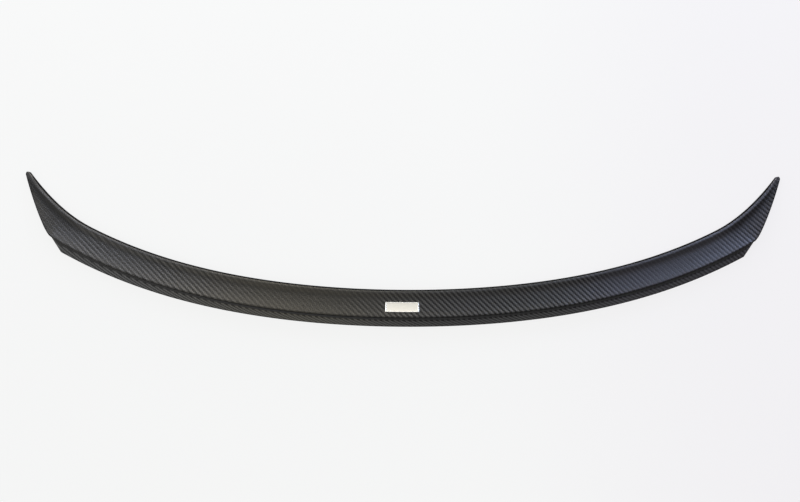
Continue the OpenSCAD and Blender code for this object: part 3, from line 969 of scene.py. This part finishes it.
for layer, reach, row in ((front_layer, front_reach, "front"), (rear_layer, rear_reach, "rear")):
    for side, word in sides:
        stops = strip_stops(side, reach, liner_tab)
        rings = [layer(x, tape_bottom, liner_bottom, liner_round) for x in stops]
        liner = closed_loops(f"release_{row}_{word}", rings, sharp=50)
        liner.data.materials.append(liner_finish)
        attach(liner, "root")
        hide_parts(f"{row}_liner_{word}")

# Floor, light and camera: a white cloth ground under a soft dome that is dimmer on the right, with
# soft boxes ahead of the wings and a low strip ahead of both.
ground_reach = 6.0
floor_mesh = bpy.data.meshes.new("ground")
floor_corners = [(x * ground_reach, y * ground_reach, 0) for x, y in ((-1, -1), (1, -1), (1, 1), (-1, 1))]
floor_mesh.from_pydata(floor_corners, [], [(0, 1, 2, 3)])
ground = placed("ground", floor_mesh)
ground_finish, made, shader = new_material("white_ground")
split = made.node("ShaderNodeSeparateXYZ")
made.put(split.inputs[0], object_place(made))
# The ground is painted darker and a little cooler towards the right, as painted shade.
to_right = made.ranged(split.outputs["X"], 0.05, 0.55, 0.0, 1.0)
white = made.blend(to_right, rgb(0.945, 0.948, 0.944), rgb(0.914, 0.903, 0.923), "RGBA")
made.put(shader.inputs["Base Color"], white)
shader.inputs["Roughness"].default_value = 0.9
shader.inputs["Specular IOR Level"].default_value = 0.0
glow = made.node("ShaderNodeEmission")
glow_share = 0.87  # the rest of what the camera sees is the ground's own light and shadow
made.put(glow.inputs["Color"], white)
glow.inputs["Strength"].default_value = 1.0
paths = made.node("ShaderNodeLightPath")
seen = made.math("MAXIMUM", paths.outputs["Is Camera Ray"], paths.outputs["Is Glossy Ray"])
seen = made.math("MAXIMUM", seen, paths.outputs["Is Transmission Ray"])
shown = made.node("ShaderNodeMixShader")
made.put(shown.inputs[0], made.math("MULTIPLY", seen, glow_share))
made.put(shown.inputs[1], shader.outputs[0])
made.put(shown.inputs[2], glow.outputs[0])
out = [n for n in ground_finish.node_tree.nodes if n.type == "OUTPUT_MATERIAL"][0]
made.put(out.inputs[0], shown.outputs[0])
floor_mesh.materials.append(ground_finish)

left_level, right_level, aside_level, low_level = 1.05, 0.36, 0.45, 0.05
world = bpy.data.worlds.new("studio")
bpy.context.scene.world = world
world.use_nodes = True
sky = Wiring(world.node_tree)
split = sky.node("ShaderNodeSeparateXYZ")
sky.put(split.inputs[0], sky.node("ShaderNodeTexCoord").outputs["Generated"])
to_right = sky.ranged(split.outputs["X"], -0.06, 0.08, 0.0, 1.0)
ahead = sky.ranged(split.outputs["Y"], 0.0, 0.5, 0.0, 1.0)
low = sky.ranged(split.outputs["Z"], 0.2, 0.95, low_level, 0.0)
aside = sky.math("MULTIPLY", ahead, sky.ranged(split.outputs["X"], -0.2, -0.07, 1.0, 0.0))
level = sky.blend(to_right, left_level, right_level)
level = sky.math("ADD", level, sky.math("MULTIPLY", ahead, low))
level = sky.blend(aside, level, aside_level)
sky_colour = sky.blend(to_right, rgb(1.02, 1.0, 0.95), rgb(0.97, 0.98, 1.01), "RGBA")
sky_colour = sky.blend(aside, sky_colour, rgb(0.93, 0.97, 1.07), "RGBA")
background = world.node_tree.nodes["Background"]
sky.put(background.inputs["Color"], sky_colour)
sky.put(background.inputs["Strength"], level)


def soft_light(name, place, size, radiance, colour):
    """A rectangular lamp aimed at the middle of the floor."""
    data = bpy.data.lights.new(name, "AREA")
    data.shape = "RECTANGLE"
    data.size, data.size_y = size
    data.energy = radiance * math.pi * size[0] * size[1]
    data.color = colour
    lamp = placed(name, data)
    lamp.location = place
    lamp.visible_camera = False
    lamp.rotation_euler = (-Vector(place)).to_track_quat("-Z", "Y").to_euler()


soft_light("left_box", (-0.84, 1.0, 0.72), (0.42, 0.5), radiance=3.7, colour=(0.92, 1.0, 1.25))
soft_light("inner_box", (-0.35, 1.0, 0.72), (0.42, 0.5), radiance=1.95, colour=(1.03, 1.0, 0.92))
soft_light("right_box", (0.8, 1.0, 0.66), (0.55, 0.45), radiance=5.0, colour=(0.7, 0.91, 1.32))
soft_light("low_strip", (-0.1, 1.7, 0.26), (3.2, 0.26), radiance=5.4, colour=(1.0, 0.94, 0.83))

look_down, roll = math.radians(80), math.radians(0.396)
distance = 1.2936
target = (-0.003485, -0.001913, 0.0)
camera_data = bpy.data.cameras.new("camera")
camera_data.sensor_width = 36.0
camera_data.lens = 40.5
camera_data.clip_end = 50.0
camera = placed("camera", camera_data)
camera.location = (
    target[0],
    target[1] - distance * math.cos(look_down),
    target[2] + distance * math.sin(look_down),
)
camera.rotation_mode = "XYZ"
turned = Matrix.Rotation(math.radians(90) - look_down, 3, "X") @ Matrix.Rotation(roll, 3, "Z")
camera.rotation_euler = turned.to_euler("XYZ")
bpy.context.scene.camera = camera
bpy.context.scene.view_settings.view_transform = "Standard"
